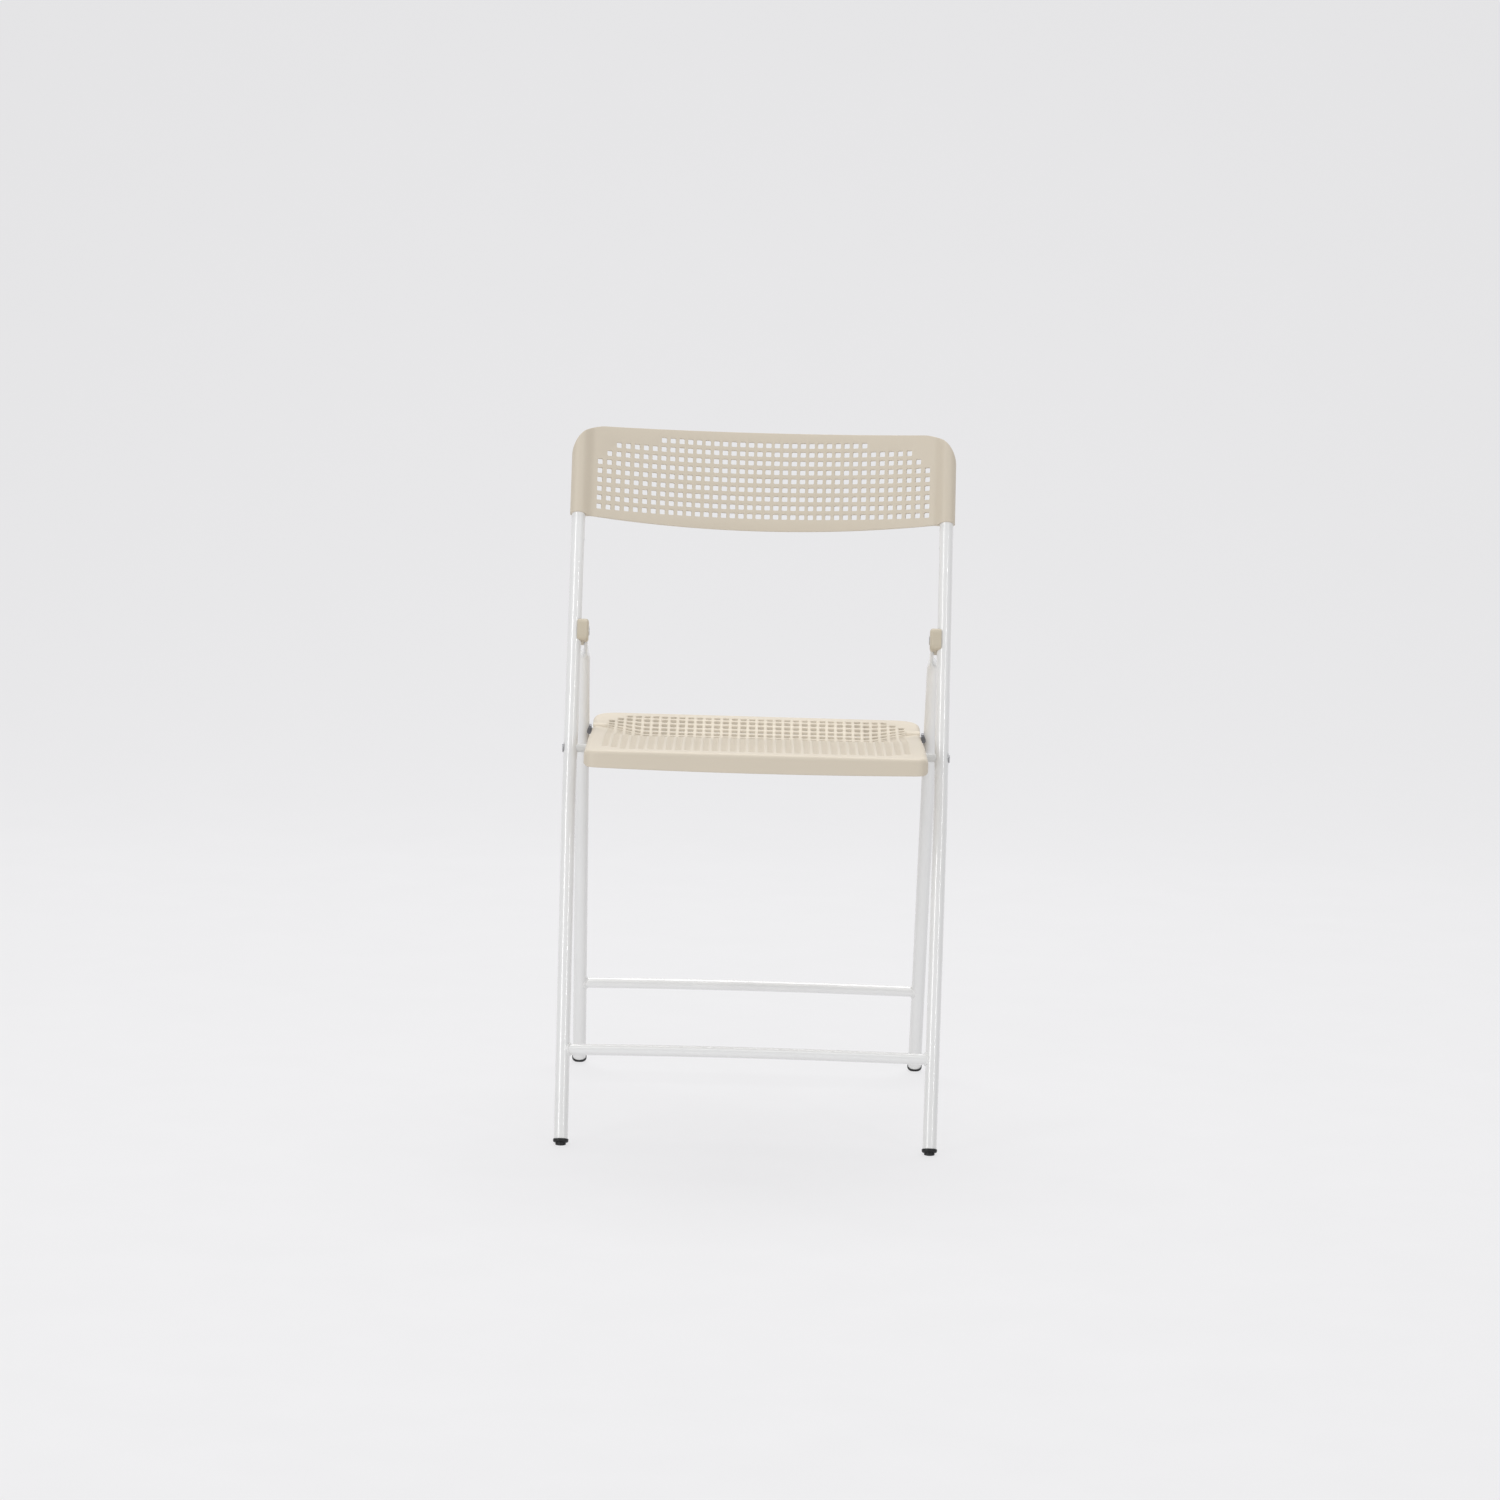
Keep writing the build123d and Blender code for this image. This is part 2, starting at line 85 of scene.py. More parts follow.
# ---- flattened tops of the rear legs ----
FLAT_HALF_THICK = 2.05 * MM
FLAT_HALF_WIDE = 10.4 * MM
FLAT_LENGTH = 24.0 * MM             # below the top pivot
SWAGE_LENGTH = 12.0 * MM            # from flat to round
FLAT_INSET = 13.2 * MM              # from an upright's axis to the flat's middle
TUBE_END = 6.0 * MM                 # up the leg, where the tube meets its foot
ROUND_POWER, FLAT_POWER = 2.0, 6.0  # corner powers of the round and of the flattened section

# ---- back ----
BACK_BOTTOM = 737.0 * MM            # up the upright
BACK_HEIGHT = 108.0 * MM
BACK_TOP_CROWN = 4.5 * MM           # rise of the top edge's middle
BACK_BOTTOM_CROWN = 5.5 * MM        # drop of the bottom edge's middle
BACK_DISH = 37.0 * MM               # how far the middle lies behind the ends
BACK_END_FORWARD = 3.0 * MM         # ends of the skin, in front of the uprights' axes
BACK_SKIN = 3.6 * MM
BACK_CORNER = 40.0 * MM
SLEEVE_OUTSIDE = 10.12 * MM         # the CAD sleeve's radius
SLEEVE_RADIUS = 9.9 * MM            # a little less, so that the skin stays inside the CAD's box
SLEEVE_MOUTH_RISE = 1.8 * MM        # the arch cut in front of each sleeve's lower end
SHEET_END = 196.0 * MM              # where the pierced sheet gives way to the sleeve
VALLEY_TURN = math.radians(38)      # how far round the sleeve the valley runs
BACK_EDGE = 1.4 * MM                # radius along the back's rim
BACK_HOLE_EDGE_SHARE = 0.3          # of that radius, round each hole
BACK_RIM_BAND = 2.5 * MM            # edges this near the outline belong to the rim
HOLE_SIZE = 6.5 * MM
HOLE_CORNER = 1.1 * MM
BACK_PITCH_MIDDLE = 10.13 * MM      # the back's holes spread out a little towards its ends
BACK_PITCH_SPREAD = 0.000577 * MM   # times the cube of a hole's count from the middle
HOLE_PITCH_UP = 10.76 * MM
BACK_MIDDLE_ROW = 791.8 * MM        # up the upright
BACK_ROW_COUNTS = (24, 34, 36, 38, 38, 38, 38, 38, 38)    # from the top row down

# ---- seat ----
SEAT_TILT = math.radians(2.6)       # the seat falls this much to the rear
SEAT_FRONT = -196.0 * MM            # from the seat pivot
SEAT_REAR = 194.0 * MM
SEAT_TOP = 20.0 * MM                # above the pivot
SEAT_SKIN = 3.4 * MM
SEAT_WALL = 3.2 * MM
SEAT_FRONT_CORNER = 14.0 * MM
SEAT_REAR_CORNER = 32.0 * MM
SEAT_EDGE = 6.5 * MM                # radius all round the top
SEAT_SHEET_INSET = SEAT_EDGE + 1.5 * MM     # from the outline in to the pierced sheet
SEAT_LIP = 0.8 * MM                 # rounding of the apron's lower edge
SEAT_PIERCED_REACH = 180.0 * MM     # all holes lie within this of the seat pivot's middle
SEAT_HOLE_EDGE = 0.75 * MM
SEAT_FRONT_APRON = 21.8 * MM        # apron depths run down from the seat's surface
SEAT_FRONT_APRON_RISE = 2.4 * MM    # the apron is this much shallower at the front corners
SEAT_SIDE_APRON = 31.0 * MM
SEAT_REAR_APRON = 17.0 * MM
SEAT_FRONT_RUN = 150.0 * MM         # length over which the side apron deepens
SEAT_REAR_RUN = 55.0 * MM
SEAT_CORNER_RISE = 3.5 * MM         # the apron's rounded lower front corners
SEAT_CORNER_REACH = 5.0 * MM
SEAT_HOLLOW = 17.0 * MM             # greatest depth below the flat front
SEAT_HOLLOW_FRONT = (-50.0 * MM, 98.0 * MM)     # where it starts to fall and where it is deepest
SEAT_HOLLOW_REAR = (102.0 * MM, 176.0 * MM)     # where it starts to rise and where it ends
SEAT_HOLLOW_SIDE = (122.0 * MM, 193.0 * MM)     # where it starts to fade towards the sides
SEAT_HOLLOW_FADE = 0.7              # share of the depth lost at the sides
SEAT_REAR_LIFT = 2.6 * MM           # how far the rear rim curls up
SEAT_LIFT_RUN = (135.0 * MM, 192.0 * MM)        # where it starts to rise and where it ends
SEAT_PITCH_ACROSS = 10.34 * MM
SEAT_COLUMNS = 34
SEAT_ROWS = 32
SEAT_HOLES_MIDDLE = (SEAT_FRONT + SEAT_REAR) / 2
SEAT_HOLE_CORNER_LINE = 325.0 * MM  # holes beyond this, counted across plus lengthways, are left out
BOSS_RADIUS = 8.0 * MM              # round each pin, under the seat
BOSS_LENGTH = 18.0 * MM
BOSS_EDGE = 1.0 * MM
BOSS_SHARP_TURN = math.radians(40)

back_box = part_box("backrest")
seat_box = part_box("seat")
BACK_WIDE = back_box[1].x
UPRIGHT_X = BACK_WIDE - SLEEVE_OUTSIDE
SEAT_HALF = seat_box[1].x


def on_upright(x, along, behind=0.0):
    """Point this far across, up the uprights and behind their axes."""
    return Vector((x, FOOT_Y, 0.0)) + along * UP + behind * BEHIND


def on_seat(x, rearward, above):
    """Point in the seat's own tilted frame, measured from the seat pivot."""
    c, s = math.cos(SEAT_TILT), math.sin(SEAT_TILT)
    return SEAT_PIVOT + Vector((x, rearward * c + above * s, -rearward * s + above * c))


def smooth_step(value, start, end):
    """0 before start, 1 after end, and a soft S between them."""
    t = min(max((value - start) / (end - start), 0.0), 1.0)
    return t * t * (3.0 - 2.0 * t)


# ================= materials =================
def new_group(name, inputs, outputs):
    """Empty shader node group with float or colour sockets, and its input and output nodes."""
    group = bpy.data.node_groups.new(name, "ShaderNodeTree")
    for label, kind, value in inputs:
        socket = group.interface.new_socket(label, in_out="INPUT", socket_type=kind)
        socket.default_value = value
    for label, kind in outputs:
        group.interface.new_socket(label, in_out="OUTPUT", socket_type=kind)
    return group, group.nodes.new("NodeGroupInput"), group.nodes.new("NodeGroupOutput")


def add_math(tree, operation, first, second, clamp=False):
    """Math node; each operand is a number or a socket."""
    node = tree.nodes.new("ShaderNodeMath")
    node.operation = operation
    node.use_clamp = clamp
    for socket, value in zip(node.inputs, (first, second)):
        if isinstance(value, (int, float)):
            socket.default_value = value
        else:
            tree.links.new(value, socket)
    return node.outputs[0]


def add_noise(tree, place, scale, detail=2.0, roughness=0.5):
    """Noise over a place; its scale is a number or a socket."""
    node = tree.nodes.new("ShaderNodeTexNoise")
    node.inputs["Detail"].default_value = detail
    node.inputs["Roughness"].default_value = roughness
    tree.links.new(place, node.inputs["Vector"])
    if isinstance(scale, (int, float)):
        node.inputs["Scale"].default_value = scale
    else:
        tree.links.new(scale, node.inputs["Scale"])
    return node.outputs["Fac"]


def add_range(tree, value, from_low, from_high, to_low, to_high):
    """A value stretched from one range to another."""
    node = tree.nodes.new("ShaderNodeMapRange")
    tree.links.new(value, node.inputs["Value"])
    for label, number in (("From Min", from_low), ("From Max", from_high),
                          ("To Min", to_low), ("To Max", to_high)):
        node.inputs[label].default_value = number
    return node.outputs["Result"]


EFFECT_OUTPUTS = [("Colour", "NodeSocketColor"), ("Roughness", "NodeSocketFloat"),
                  ("Height", "NodeSocketFloat")]


def make_moulded_grain():
    """Fine spark texture of a moulding tool, with broad soft variation of shade and gloss."""
    group, given, out = new_group(
        "moulded_grain",
        [("Colour", "NodeSocketColor", (0.6, 0.5, 0.4, 1)),
         ("Shade Spread", "NodeSocketFloat", 0.04),
         ("Roughness", "NodeSocketFloat", 0.5),
         ("Grain Size", "NodeSocketFloat", 1400.0)],
        EFFECT_OUTPUTS)
    place = group.nodes.new("ShaderNodeTexCoord").outputs["Object"]
    speck_strength, gloss_spread = 0.03, 0.16
    broad = add_noise(group, place, scale=9.0, detail=3.0)
    fine = add_noise(group, place, given.outputs["Grain Size"], roughness=0.6)
    broad_swing = add_math(group, "SUBTRACT", broad, 0.5)
    fine_swing = add_math(group, "SUBTRACT", fine, 0.5)
    shade = add_math(group, "MULTIPLY", broad_swing, given.outputs["Shade Spread"])
    speck = add_math(group, "MULTIPLY", fine_swing, speck_strength)
    value = add_math(group, "ADD", add_math(group, "ADD", shade, speck), 1.0)
    tint = group.nodes.new("ShaderNodeHueSaturation")
    group.links.new(given.outputs["Colour"], tint.inputs["Color"])
    group.links.new(value, tint.inputs["Value"])
    gloss_swing = add_math(group, "MULTIPLY", broad_swing, gloss_spread)
    gloss = add_math(group, "ADD", given.outputs["Roughness"], gloss_swing)
    group.links.new(tint.outputs["Color"], out.inputs["Colour"])
    group.links.new(gloss, out.inputs["Roughness"])
    group.links.new(fine, out.inputs["Height"])
    return group


def make_enamel_skin():
    """Powder coat: faint orange-peel waves, slight shade drift and a trace of dust near the floor."""
    group, given, out = new_group(
        "enamel_skin",
        [("Colour", "NodeSocketColor", (0.8, 0.8, 0.8, 1)),
         ("Dust Colour", "NodeSocketColor", (0.5, 0.48, 0.45, 1)),
         ("Roughness", "NodeSocketFloat", 0.25),
         ("Dust", "NodeSocketFloat", 0.12)],
        EFFECT_OUTPUTS)
    place = group.nodes.new("ShaderNodeTexCoord").outputs["Object"]
    dust_effect, drift_effect = 1.5, 0.06       # on the roughness
    peel = add_noise(group, place, scale=420.0)
    drift = add_noise(group, place, scale=14.0, detail=3.0)
    split = group.nodes.new("ShaderNodeSeparateXYZ")
    group.links.new(place, split.inputs[0])
    low = add_range(group, split.outputs["Z"], from_low=0.01, from_high=0.16, to_low=1.0, to_high=0.0)
    low_drift = add_math(group, "MULTIPLY", low, drift)
    dusty = add_math(group, "MULTIPLY", low_drift, given.outputs["Dust"], clamp=True)
    mix = group.nodes.new("ShaderNodeMixRGB")
    group.links.new(dusty, mix.inputs["Fac"])
    group.links.new(given.outputs["Colour"], mix.inputs["Color1"])
    group.links.new(given.outputs["Dust Colour"], mix.inputs["Color2"])
    tint = group.nodes.new("ShaderNodeHueSaturation")
    group.links.new(mix.outputs["Color"], tint.inputs["Color"])
    shade = add_range(group, drift, from_low=0.3, from_high=0.7, to_low=0.985, to_high=1.015)
    group.links.new(shade, tint.inputs["Value"])
    dust_dulling = add_math(group, "MULTIPLY", dusty, dust_effect)
    drift_dulling = add_math(group, "MULTIPLY", drift, drift_effect)
    dulling = add_math(group, "ADD", dust_dulling, drift_dulling)
    gloss = add_math(group, "ADD", given.outputs["Roughness"], dulling)
    group.links.new(tint.outputs["Color"], out.inputs["Colour"])
    group.links.new(gloss, out.inputs["Roughness"])
    group.links.new(peel, out.inputs["Height"])
    return group


def add_surface(name, group, values, bump, bump_distance, settings):
    """Material with one effect group feeding colour, roughness and bump of a Principled BSDF."""
    material = bpy.data.materials.new(name)
    material.use_nodes = True
    tree = material.node_tree
    shader = tree.nodes["Principled BSDF"]
    for label, value in settings.items():
        shader.inputs[label].default_value = value
    effect = tree.nodes.new("ShaderNodeGroup")
    effect.node_tree = group
    for label, value in values.items():
        effect.inputs[label].default_value = value
    relief = tree.nodes.new("ShaderNodeBump")
    relief.inputs["Strength"].default_value = bump
    relief.inputs["Distance"].default_value = bump_distance
    tree.links.new(effect.outputs["Colour"], shader.inputs["Base Color"])
    tree.links.new(effect.outputs["Roughness"], shader.inputs["Roughness"])
    tree.links.new(effect.outputs["Height"], relief.inputs["Height"])
    tree.links.new(relief.outputs["Normal"], shader.inputs["Normal"])
    return material


grain = make_moulded_grain()
enamel = make_enamel_skin()


def make_plastic(name, colour, roughness, spread=0.05, size=1400.0, bump=0.25):
    """Moulded plastic with a fine grain."""
    values = {"Colour": (*colour, 1), "Shade Spread": spread, "Roughness": roughness, "Grain Size": size}
    settings = {"Specular IOR Level": 0.42}
    return add_surface(name, grain, values, bump, bump_distance=0.05 * MM, settings=settings)


def make_enamel(name, colour, roughness, bump, bump_distance, coat, coat_roughness):
    """White powder coat under a clear gloss."""
    values = {"Colour": (*colour, 1), "Roughness": roughness}
    settings = {"Coat Weight": coat, "Coat Roughness": coat_roughness}
    return add_surface(name, enamel, values, bump, bump_distance, settings)


def make_steel(name, colour, roughness):
    """Plated steel with a faint mottle."""
    values = {"Colour": (*colour, 1), "Shade Spread": 0.2, "Roughness": roughness, "Grain Size": 500.0}
    settings = {"Metallic": 1.0}
    return add_surface(name, grain, values, bump=0.15, bump_distance=0.04 * MM, settings=settings)


SAND = (0.610, 0.544, 0.444)
sand_back = make_plastic("sand_back_plastic", SAND, roughness=0.46)
sand_seat = make_plastic("sand_seat_plastic", SAND, roughness=0.48)
sand_shoe = make_plastic("sand_shoe_plastic", (0.55, 0.49, 0.385), roughness=0.42)
pale_nylon = make_plastic("pale_spacer_nylon", (0.66, 0.66, 0.65), roughness=0.38)
black_foot = make_plastic("black_foot_plastic", (0.006, 0.006, 0.007), roughness=0.5,
                          spread=0.2, size=900.0, bump=0.35)
white_enamel = make_enamel("white_tube_enamel", (0.79, 0.79, 0.785), roughness=0.14,
                           bump=0.04, bump_distance=0.05 * MM, coat=0.5, coat_roughness=0.05)
weld_enamel = make_enamel("white_weld_enamel", (0.78, 0.78, 0.77), roughness=0.3,
                          bump=0.5, bump_distance=0.25 * MM, coat=0.2, coat_roughness=0.15)
plated_steel = make_steel("plated_pin_steel", (0.50, 0.50, 0.51), roughness=0.32)
dark_steel = make_steel("dark_stud_steel", (0.20, 0.20, 0.21), roughness=0.4)

finish_of = {"tube_paint": white_enamel, "back_plastic": sand_back, "seat_plastic": sand_seat,
             "shoe_plastic": sand_shoe, "foot_plastic": black_foot, "spacer_plastic": pale_nylon,
             "steel": plated_steel}
for part in frame["record"]["subparts"]:
    piece = nodes[part["node"]]
    piece.data.materials.clear()
    piece.data.materials.append(finish_of[part["material_slot"]])
for side in ("left", "right"):
    nodes[f"slider_stud_{side}"].data.materials[0] = dark_steel
    nodes[f"rear_washer_{side}"].data.materials[0] = dark_steel


# ================= mesh helpers =================
def new_object(name, mesh, material, body):
    """Finished piece at the origin that rides on a CAD body."""
    piece = bpy.data.objects.new(name, mesh)
    bpy.context.scene.collection.objects.link(piece)
    mesh.materials.clear()
    mesh.materials.append(material)
    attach(piece, body)
    return piece


def shade_smooth(mesh, angle=math.radians(32)):
    """Smooth shading that stays sharp where faces meet at more than this angle."""
    mesh.polygons.foreach_set("use_smooth", [True] * len(mesh.polygons))
    mesh.set_sharp_from_angle(angle=angle)


def plain_mesh(piece):
    """The evaluated result of an object's modifiers as a mesh; the object is removed."""
    bpy.context.view_layer.update()
    evaluated = piece.evaluated_get(bpy.context.evaluated_depsgraph_get())
    mesh = bpy.data.meshes.new_from_object(evaluated)
    bpy.data.objects.remove(piece)
    return mesh


def rounded_edges(name, mesh, width, segments):
    """Bevel the edges that carry a bevel weight."""
    piece = bpy.data.objects.new(name, mesh)
    bpy.context.scene.collection.objects.link(piece)
    bevel = piece.modifiers.new("edge_radius", "BEVEL")
    bevel.limit_method = "WEIGHT"
    bevel.width = width
    bevel.segments = segments
    bevel.use_clamp_overlap = True
    return plain_mesh(piece)


def capped_run(name, rings, material, body, sharp_angle):
    """Closed piece through rings of as many points each, with a cap at both ends."""
    bm = bmesh.new()
    loops = [[bm.verts.new(point) for point in ring] for ring in rings]
    count = len(rings[0])
    for here, there in zip(loops, loops[1:]):
        for i in range(count):
            j = (i + 1) % count
            bm.faces.new((here[i], here[j], there[j], there[i]))
    bm.faces.new(loops[0])
    bm.faces.new(loops[-1])
    bmesh.ops.recalc_face_normals(bm, faces=bm.faces)
    mesh = bpy.data.meshes.new(name)
    bm.to_mesh(mesh)
    bm.free()
    shade_smooth(mesh, sharp_angle)
    return new_object(name, mesh, material, body)


# ================= pierced sheet (geometry nodes) =================
def make_pierced_sheet_tree():
    """Outline edges and loose hole centres become a flat sheet with square holes right through it."""
    tree = bpy.data.node_groups.new("pierced_sheet", "GeometryNodeTree")
    face = tree.interface
    face.new_socket("Geometry", in_out="INPUT", socket_type="NodeSocketGeometry")
    for label in ("Hole Size", "Hole Corner", "Thickness"):
        face.new_socket(label, in_out="INPUT", socket_type="NodeSocketFloat")
    face.new_socket("Material", in_out="INPUT", socket_type="NodeSocketMaterial")
    face.new_socket("Geometry", in_out="OUTPUT", socket_type="NodeSocketGeometry")
    add, link = tree.nodes.new, tree.links.new
    given, out = add("NodeGroupInput"), add("NodeGroupOutput")

    rim = add("GeometryNodeMeshToCurve")
    link(given.outputs["Geometry"], rim.inputs["Mesh"])
    neighbours = add("GeometryNodeInputMeshVertexNeighbors")
    alone = add("FunctionNodeCompare")
    alone.data_type = "INT"
    alone.operation = "EQUAL"
    link(neighbours.outputs["Vertex Count"], alone.inputs["A"])
    centres = add("GeometryNodeMeshToPoints")
    link(given.outputs["Geometry"], centres.inputs["Mesh"])
    link(alone.outputs["Result"], centres.inputs["Selection"])

    square = add("GeometryNodeCurvePrimitiveQuadrilateral")
    link(given.outputs["Hole Size"], square.inputs["Width"])
    link(given.outputs["Hole Size"], square.inputs["Height"])
    soft_square = add("GeometryNodeFilletCurve")
    link(square.outputs["Curve"], soft_square.inputs["Curve"])
    link(given.outputs["Hole Corner"], soft_square.inputs["Radius"])
    if "Mode" in soft_square.inputs:
        soft_square.inputs["Mode"].default_value = "Poly"
    else:
        soft_square.mode = "POLY"
    soft_square.inputs["Count"].default_value = 2
    holes = add("GeometryNodeInstanceOnPoints")
    link(centres.outputs["Points"], holes.inputs["Points"])
    link(soft_square.outputs["Curve"], holes.inputs["Instance"])
    real_holes = add("GeometryNodeRealizeInstances")
    link(holes.outputs["Instances"], real_holes.inputs["Geometry"])

    loops = add("GeometryNodeJoinGeometry")
    link(rim.outputs["Curve"], loops.inputs["Geometry"])
    link(real_holes.outputs["Geometry"], loops.inputs["Geometry"])
    sheet = add("GeometryNodeFillCurve")
    link(loops.outputs["Geometry"], sheet.inputs["Curve"])

    raised = add("GeometryNodeExtrudeMesh")
    raised.inputs["Individual"].default_value = False
    straight_up = add("ShaderNodeCombineXYZ")
    straight_up.inputs["Z"].default_value = 1.0
    link(sheet.outputs["Mesh"], raised.inputs["Mesh"])
    link(straight_up.outputs[0], raised.inputs["Offset"])
    link(given.outputs["Thickness"], raised.inputs["Offset Scale"])
    underside = add("GeometryNodeFlipFaces")
    link(sheet.outputs["Mesh"], underside.inputs["Mesh"])
    both = add("GeometryNodeJoinGeometry")
    link(raised.outputs["Mesh"], both.inputs["Geometry"])
    link(underside.outputs["Mesh"], both.inputs["Geometry"])
    closed = add("GeometryNodeMergeByDistance")
    closed.inputs["Distance"].default_value = MERGE / 10
    link(both.outputs["Geometry"], closed.inputs["Geometry"])
    whole = add("GeometryNodeRealizeInstances")
    link(closed.outputs["Geometry"], whole.inputs["Geometry"])
    painted = add("GeometryNodeSetMaterial")
    link(whole.outputs["Geometry"], painted.inputs["Geometry"])
    link(given.outputs["Material"], painted.inputs["Material"])
    link(painted.outputs["Geometry"], out.inputs["Geometry"])
    return tree


pierced_sheet = make_pierced_sheet_tree()


def make_pierced_sheet(name, rim, centres, thickness, material):
    """Flat pierced sheet, as a plain mesh: rim is a closed run of (x, y) points."""
    mesh = bpy.data.meshes.new(name)
    count = len(rim)
    edges = [(i, (i + 1) % count) for i in range(count)]
    mesh.from_pydata([(x, y, 0.0) for x, y in list(rim) + list(centres)], edges, [])
    piece = bpy.data.objects.new(name, mesh)
    bpy.context.scene.collection.objects.link(piece)
    values = {"Hole Size": HOLE_SIZE, "Hole Corner": HOLE_CORNER,
              "Thickness": thickness, "Material": material}
    modifier = piece.modifiers.new("pierced_sheet", "NODES")
    modifier.node_group = pierced_sheet
    for item in pierced_sheet.interface.items_tree:
        if item.item_type == "SOCKET" and item.in_out == "INPUT" and item.name in values:
            modifier[item.identifier] = values[item.name]
    return plain_mesh(piece)


def weigh_sharp_edges(bm, weight_at):
    """Bevel weight for each sharp edge, by the place of its middle."""
    layer = bm.edges.layers.float.new("bevel_weight_edge")
    for edge in bm.edges:
        if len(edge.link_faces) == 2 and edge.calc_face_angle(0.0) > SHARP_TURN:
            edge[layer] = weight_at((edge.verts[0].co + edge.verts[1].co) / 2)


# ================= back =================
SKIN_RADIUS = (UPRIGHT_X ** 2 + BACK_DISH ** 2) / (2 * BACK_DISH)
SKIN_CENTRE = BACK_DISH - BACK_END_FORWARD - SKIN_RADIUS     # behind the uprights' axes
SHEET_TURN = math.asin(SHEET_END / SKIN_RADIUS)


def back_top(x):
    """Height up the upright of the back's top edge, this far from the centre plane."""
    corner_start = BACK_WIDE - BACK_CORNER
    top = BACK_BOTTOM + BACK_HEIGHT
    x = abs(x)
    if x <= corner_start:
        return top + BACK_TOP_CROWN * (1 - (x / corner_start) ** 2)
    reach = min((x - corner_start) / BACK_CORNER, 1.0)
    return top - BACK_CORNER * (1 - math.sqrt(1 - reach * reach))


def back_bottom(x):
    """Height up the upright of the back's bottom edge, this far from the centre plane."""
    x = min(abs(x), UPRIGHT_X)
    return BACK_BOTTOM - BACK_BOTTOM_CROWN * (1 - (x / UPRIGHT_X) ** 2)


def skin_point(turn, front_share):
    """Point (x, behind) on the dished skin: front_share is 0 on its rear face and 1 on its front face."""
    radius = SKIN_RADIUS + BACK_SKIN * (0.5 - front_share)
    return radius * math.sin(turn), SKIN_CENTRE + radius * math.cos(turn)


def curve_between(start, start_way, end, end_way, steps):
    """Points on a cubic curve that leaves start along start_way and reaches end along end_way."""
    pull = 0.4
    reach = math.dist(start, end) * pull
    first = (start[0] + start_way[0] * reach, start[1] + start_way[1] * reach)
    second = (end[0] - end_way[0] * reach, end[1] - end_way[1] * reach)
    points = []
    for i in range(steps):
        t = i / steps
        weights = ((1 - t) ** 3, 3 * t * (1 - t) ** 2, 3 * t * t * (1 - t), t ** 3)
        points.append(tuple(sum(w * p[k] for w, p in zip(weights, (start, first, second, end)))
                            for k in (0, 1)))
    return points


def sleeve_profile(front_share, valley_steps=8, sleeve_steps=12):
    """Section (x, behind) from the end of the sheet, through the valley and round half the sleeve."""
    sign = -1 if front_share else 1
    start = skin_point(SHEET_TURN, front_share)
    skin_way = (math.cos(SHEET_TURN), -math.sin(SHEET_TURN))
    whole_turn = VALLEY_TURN + math.pi / 2
    angles = [VALLEY_TURN - whole_turn * i / sleeve_steps for i in range(sleeve_steps + 1)]
    ring = [(UPRIGHT_X - SLEEVE_RADIUS * math.sin(a), sign * SLEEVE_RADIUS * math.cos(a)) for a in angles]
    ring_way = (math.cos(VALLEY_TURN), sign * math.sin(VALLEY_TURN))
    return curve_between(start, skin_way, ring[0], ring_way, valley_steps) + ring


def back_rim(end_s, rows, columns):
    """Closed run of (round the dish, up the upright) along the outline of the pierced sheet."""
    across = np.linspace(-end_s, end_s, columns + 1)
    x_of = [SKIN_RADIUS * math.sin(s / SKIN_RADIUS) for s in across]
    rim = [(s, back_bottom(x)) for s, x in zip(across, x_of)]
    low, high = back_bottom(x_of[-1]), back_top(x_of[-1])
    side = [low + (high - low) * i / rows for i in range(1, rows)]
    rim += [(end_s, v) for v in side]
    rim += [(s, back_top(x)) for s, x in reversed(list(zip(across, x_of)))]
    return rim + [(-end_s, v) for v in reversed(side)]


def back_hole_centres():
    """Centre of each hole in the back, as (round the dish, up the upright)."""
    centres = []
    top_row = BACK_MIDDLE_ROW + HOLE_PITCH_UP * (len(BACK_ROW_COUNTS) - 1) / 2
    for row, count in enumerate(BACK_ROW_COUNTS):
        for column in range(count):
            steps = column - (count - 1) / 2
            x = steps * BACK_PITCH_MIDDLE + steps ** 3 * BACK_PITCH_SPREAD
            centres.append((SKIN_RADIUS * math.asin(x / SKIN_RADIUS), top_row - row * HOLE_PITCH_UP))
    return centres


def make_back():
    """Dished, pierced back with a sleeve at each end, made flat and then bent to its radius."""
    rows, columns = 22, 76
    end_s = SKIN_RADIUS * SHEET_TURN
    rim = back_rim(end_s, rows, columns)
    mesh = make_pierced_sheet("backrest_flat", rim, back_hole_centres(), BACK_SKIN, sand_back)
    bm = bmesh.new()
    bm.from_mesh(mesh)
    ends = [f for f in bm.faces if all(abs(abs(v.co.x) - end_s) < MERGE for v in f.verts)]
    bmesh.ops.delete(bm, geom=ends, context="FACES")
    for vert in bm.verts:
        x, behind = skin_point(vert.co.x / SKIN_RADIUS, vert.co.z / BACK_SKIN)
        vert.co = on_upright(x, vert.co.y, behind)
    for sign in (-1, 1):
        add_sleeve(bm, sign, rows)
    bmesh.ops.remove_doubles(bm, verts=bm.verts, dist=MERGE)
    bmesh.ops.recalc_face_normals(bm, faces=bm.faces)

    def weight_at(middle):
        along = (middle - Vector((middle.x, FOOT_Y, 0))).dot(UP)
        to_rim = min(abs(along - back_top(middle.x)), abs(along - back_bottom(middle.x)))
        return 1.0 if to_rim < BACK_RIM_BAND else BACK_HOLE_EDGE_SHARE

    weigh_sharp_edges(bm, weight_at)
    bm.to_mesh(mesh)
    bm.free()
    mesh = rounded_edges("backrest_bevel", mesh, BACK_EDGE, segments=3)
    shade_smooth(mesh)
    panel = new_object("pierced_backrest", mesh, sand_back, "frame")
    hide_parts("backrest")


